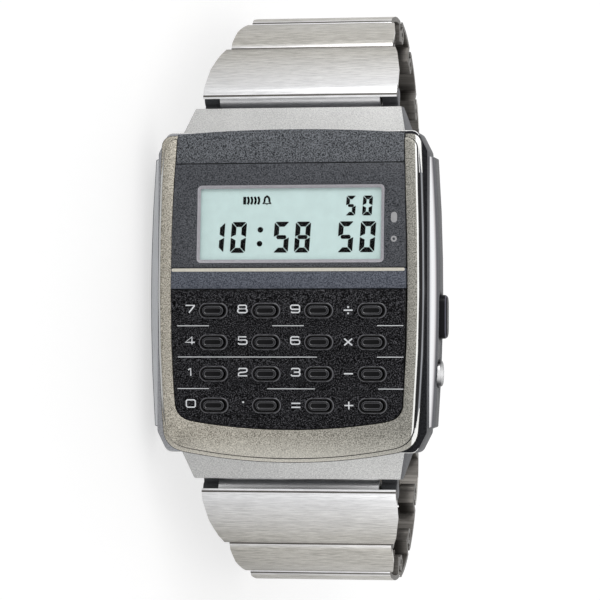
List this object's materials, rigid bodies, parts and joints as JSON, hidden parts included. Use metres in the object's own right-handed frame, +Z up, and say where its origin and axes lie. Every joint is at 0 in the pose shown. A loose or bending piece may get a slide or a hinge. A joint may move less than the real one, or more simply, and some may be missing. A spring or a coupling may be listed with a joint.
{
  "type": "calculator watch",
  "caption": "Digital wristwatch with a small calculator keypad under its display, two side pushers and a folded-link metal bracelet with a fold-over clasp.",
  "frame": {"origin": "middle of the part's box, on the surface it lies on", "axes": "the watch lies on its 9 o'clock flank: +Z up is nearly its 3 o'clock, -X its 12 o'clock, -Y the way its face looks, leaning back about ten degrees"},
  "size_m": [0.0706, 0.0517, 0.0358],
  "materials": {
    "case_steel": "matt blasted",
    "bezel_steel": "matt blasted, warm",
    "band_steel": "brushed across",
    "face_dark": "dark, grained",
    "bar_blue": "dark blue grey, grained",
    "keypad_black": "black, speckled",
    "key_black": "satin black",
    "display": "greenish grey",
    "module_plastic": "black",
    "board": "green",
    "rubber": "black",
    "rubber_pale": "grey",
    "connector": "pink",
    "cell_steel": "bright",
    "brass": "bright",
    "bright_steel": "bright"
  },
  "bodies": {
    "case": {"mid_case": "case_steel", "bezel_frame": "bezel_steel", "top_strip": "face_dark", "display_glass": "face_dark", "divider_bar": "bar_blue", "keypad_plate": "keypad_black", "lcd_panel": "display", "lcd_connectors": "connector", "module_frame": "module_plastic", "circuit_board": "board", "key_rubber": "rubber_pale", "battery": "cell_steel", "battery_clip": "bright_steel", "buzzer_disc": "brass", "buzzer_spring": "bright_steel", "case_back": "case_steel", "case_back_gasket": "rubber", "case_back_screws": "bright_steel", "button_seals": "rubber", "button_springs": "bright_steel", "spring_bar_upper": "bright_steel", "spring_bar_lower": "bright_steel"},
    "mode_button": {"mode_button": "key_black", "mode_button_clip": "bright_steel"},
    "adjust_button": {"adjust_button": "bright_steel", "adjust_button_clip": "bright_steel"},
    "key_7": {"key_7": "key_black"},
    "key_8": {"key_8": "key_black"},
    "key_9": {"key_9": "key_black"},
    "key_divide": {"key_divide": "key_black"},
    "key_4": {"key_4": "key_black"},
    "key_5": {"key_5": "key_black"},
    "key_6": {"key_6": "key_black"},
    "key_multiply": {"key_multiply": "key_black"},
    "key_1": {"key_1": "key_black"},
    "key_2": {"key_2": "key_black"},
    "key_3": {"key_3": "key_black"},
    "key_minus": {"key_minus": "key_black"},
    "key_0": {"key_0": "key_black"},
    "key_point": {"key_point": "key_black"},
    "key_equals": {"key_equals": "key_black"},
    "key_plus": {"key_plus": "key_black"},
    "upper_link_1": {"upper_link_1": "band_steel"},
    "upper_link_2": {"upper_link_2": "band_steel"},
    "upper_link_3": {"upper_link_3": "band_steel"},
    "upper_link_4": {"upper_link_4": "band_steel"},
    "upper_link_5": {"upper_link_5": "band_steel"},
    "upper_link_6": {"upper_link_6": "band_steel"},
    "lower_link_1": {"lower_link_1": "band_steel"},
    "lower_link_2": {"lower_link_2": "band_steel"},
    "lower_link_3": {"lower_link_3": "band_steel"},
    "lower_link_4": {"lower_link_4": "band_steel"},
    "lower_link_5": {"lower_link_5": "band_steel"},
    "lower_link_6": {"lower_link_6": "band_steel"},
    "clasp_inner_blade": {"clasp_inner_blade": "band_steel"},
    "clasp_outer_blade": {"clasp_outer_blade": "band_steel"},
    "clasp_cover": {"clasp_cover": "band_steel"}
  },
  "joints": [
    {"name": "upper_hinge_1", "type": "hinge", "parent": "case", "child": "upper_link_1", "pos_m": [-0.0236, -0.01426, 0.01682], "axis": [0, -0.1962, -0.9806], "range_deg": [-28, 0]},
    {"name": "upper_hinge_2", "type": "hinge", "parent": "upper_link_1", "child": "upper_link_2", "pos_m": [-0.02976, -0.00653, 0.01527], "axis": [0, -0.1962, -0.9806], "range_deg": [-16, 0]},
    {"name": "upper_hinge_3", "type": "hinge", "parent": "upper_link_2", "child": "upper_link_3", "pos_m": [-0.03304, 0.00008, 0.01395], "axis": [0, -0.1962, -0.9806], "range_deg": [-28, 0]},
    {"name": "upper_hinge_4", "type": "hinge", "parent": "upper_link_3", "child": "upper_link_4", "pos_m": [-0.03331, 0.00743, 0.01248], "axis": [0, -0.1962, -0.9806], "range_deg": [-30, 0]},
    {"name": "upper_hinge_5", "type": "hinge", "parent": "upper_link_4", "child": "upper_link_5", "pos_m": [-0.03026, 0.01415, 0.01113], "axis": [0, -0.1962, -0.9806], "range_deg": [-28, 0]},
    {"name": "upper_hinge_6", "type": "hinge", "parent": "upper_link_5", "child": "upper_link_6", "pos_m": [-0.02468, 0.01907, 0.01015], "axis": [0, -0.1962, -0.9806], "range_deg": [-26, 0]},
    {"name": "lower_hinge_1", "type": "hinge", "parent": "case", "child": "lower_link_1", "pos_m": [0.0236, -0.01426, 0.01682], "axis": [0, 0.1962, 0.9806], "range_deg": [-28, 0]},
    {"name": "lower_hinge_2", "type": "hinge", "parent": "lower_link_1", "child": "lower_link_2", "pos_m": [0.02976, -0.00653, 0.01527], "axis": [0, 0.1962, 0.9806], "range_deg": [-16, 0]},
    {"name": "lower_hinge_3", "type": "hinge", "parent": "lower_link_2", "child": "lower_link_3", "pos_m": [0.03304, 0.00008, 0.01395], "axis": [0, 0.1962, 0.9806], "range_deg": [-28, 0]},
    {"name": "lower_hinge_4", "type": "hinge", "parent": "lower_link_3", "child": "lower_link_4", "pos_m": [0.03331, 0.00743, 0.01248], "axis": [0, 0.1962, 0.9806], "range_deg": [-30, 0]},
    {"name": "lower_hinge_5", "type": "hinge", "parent": "lower_link_4", "child": "lower_link_5", "pos_m": [0.03026, 0.01415, 0.01113], "axis": [0, 0.1962, 0.9806], "range_deg": [-28, 0]},
    {"name": "lower_hinge_6", "type": "hinge", "parent": "lower_link_5", "child": "lower_link_6", "pos_m": [0.02468, 0.01907, 0.01015], "axis": [0, 0.1962, 0.9806], "range_deg": [-26, 0]},
    {"name": "clasp_hinge", "type": "hinge", "parent": "lower_link_6", "child": "clasp_inner_blade", "pos_m": [0.01763, 0.02158, 0.00964], "axis": [0, 0.1962, 0.9806], "range_deg": [-24, 0]},
    {"name": "clasp_fold", "type": "hinge", "parent": "clasp_inner_blade", "child": "clasp_outer_blade", "pos_m": [-0.011, 0.02146, 0.00967], "axis": [0, -0.1962, -0.9806], "range_deg": [-150, 0]},
    {"name": "clasp_cover_hinge", "type": "hinge", "parent": "clasp_outer_blade", "child": "clasp_cover", "pos_m": [0.0124, 0.02254, 0.00945], "axis": [0, 0.1962, 0.9806], "range_deg": [-150, 0]},
    {"name": "mode_press", "type": "slide", "parent": "case", "child": "mode_button", "axis": [0, -0.1962, -0.9806], "range_m": [0, 0.0005], "stiffness_N_per_m": 2000, "springref_m": -0.0002},
    {"name": "adjust_press", "type": "slide", "parent": "case", "child": "adjust_button", "axis": [0, -0.1962, -0.9806], "range_m": [0, 0.0005], "stiffness_N_per_m": 2000, "springref_m": -0.0002},
    {"name": "key_7_press", "type": "slide", "parent": "case", "child": "key_7", "axis": [0, 0.9806, -0.1962], "range_m": [0, 0.00035], "stiffness_N_per_m": 1500, "springref_m": -0.0001},
    {"name": "key_8_press", "type": "slide", "parent": "case", "child": "key_8", "axis": [0, 0.9806, -0.1962], "range_m": [0, 0.00035], "stiffness_N_per_m": 1500, "springref_m": -0.0001},
    {"name": "key_9_press", "type": "slide", "parent": "case", "child": "key_9", "axis": [0, 0.9806, -0.1962], "range_m": [0, 0.00035], "stiffness_N_per_m": 1500, "springref_m": -0.0001},
    {"name": "key_divide_press", "type": "slide", "parent": "case", "child": "key_divide", "axis": [0, 0.9806, -0.1962], "range_m": [0, 0.00035], "stiffness_N_per_m": 1500, "springref_m": -0.0001},
    {"name": "key_4_press", "type": "slide", "parent": "case", "child": "key_4", "axis": [0, 0.9806, -0.1962], "range_m": [0, 0.00035], "stiffness_N_per_m": 1500, "springref_m": -0.0001},
    {"name": "key_5_press", "type": "slide", "parent": "case", "child": "key_5", "axis": [0, 0.9806, -0.1962], "range_m": [0, 0.00035], "stiffness_N_per_m": 1500, "springref_m": -0.0001},
    {"name": "key_6_press", "type": "slide", "parent": "case", "child": "key_6", "axis": [0, 0.9806, -0.1962], "range_m": [0, 0.00035], "stiffness_N_per_m": 1500, "springref_m": -0.0001},
    {"name": "key_multiply_press", "type": "slide", "parent": "case", "child": "key_multiply", "axis": [0, 0.9806, -0.1962], "range_m": [0, 0.00035], "stiffness_N_per_m": 1500, "springref_m": -0.0001},
    {"name": "key_1_press", "type": "slide", "parent": "case", "child": "key_1", "axis": [0, 0.9806, -0.1962], "range_m": [0, 0.00035], "stiffness_N_per_m": 1500, "springref_m": -0.0001},
    {"name": "key_2_press", "type": "slide", "parent": "case", "child": "key_2", "axis": [0, 0.9806, -0.1962], "range_m": [0, 0.00035], "stiffness_N_per_m": 1500, "springref_m": -0.0001},
    {"name": "key_3_press", "type": "slide", "parent": "case", "child": "key_3", "axis": [0, 0.9806, -0.1962], "range_m": [0, 0.00035], "stiffness_N_per_m": 1500, "springref_m": -0.0001},
    {"name": "key_minus_press", "type": "slide", "parent": "case", "child": "key_minus", "axis": [0, 0.9806, -0.1962], "range_m": [0, 0.00035], "stiffness_N_per_m": 1500, "springref_m": -0.0001},
    {"name": "key_0_press", "type": "slide", "parent": "case", "child": "key_0", "axis": [0, 0.9806, -0.1962], "range_m": [0, 0.00035], "stiffness_N_per_m": 1500, "springref_m": -0.0001},
    {"name": "key_point_press", "type": "slide", "parent": "case", "child": "key_point", "axis": [0, 0.9806, -0.1962], "range_m": [0, 0.00035], "stiffness_N_per_m": 1500, "springref_m": -0.0001},
    {"name": "key_equals_press", "type": "slide", "parent": "case", "child": "key_equals", "axis": [0, 0.9806, -0.1962], "range_m": [0, 0.00035], "stiffness_N_per_m": 1500, "springref_m": -0.0001},
    {"name": "key_plus_press", "type": "slide", "parent": "case", "child": "key_plus", "axis": [0, 0.9806, -0.1962], "range_m": [0, 0.00035], "stiffness_N_per_m": 1500, "springref_m": -0.0001}
  ],
  "couplings": [
    {"joint": "clasp_cover_hinge", "follows": "clasp_fold", "ratio": 1}
  ]
}
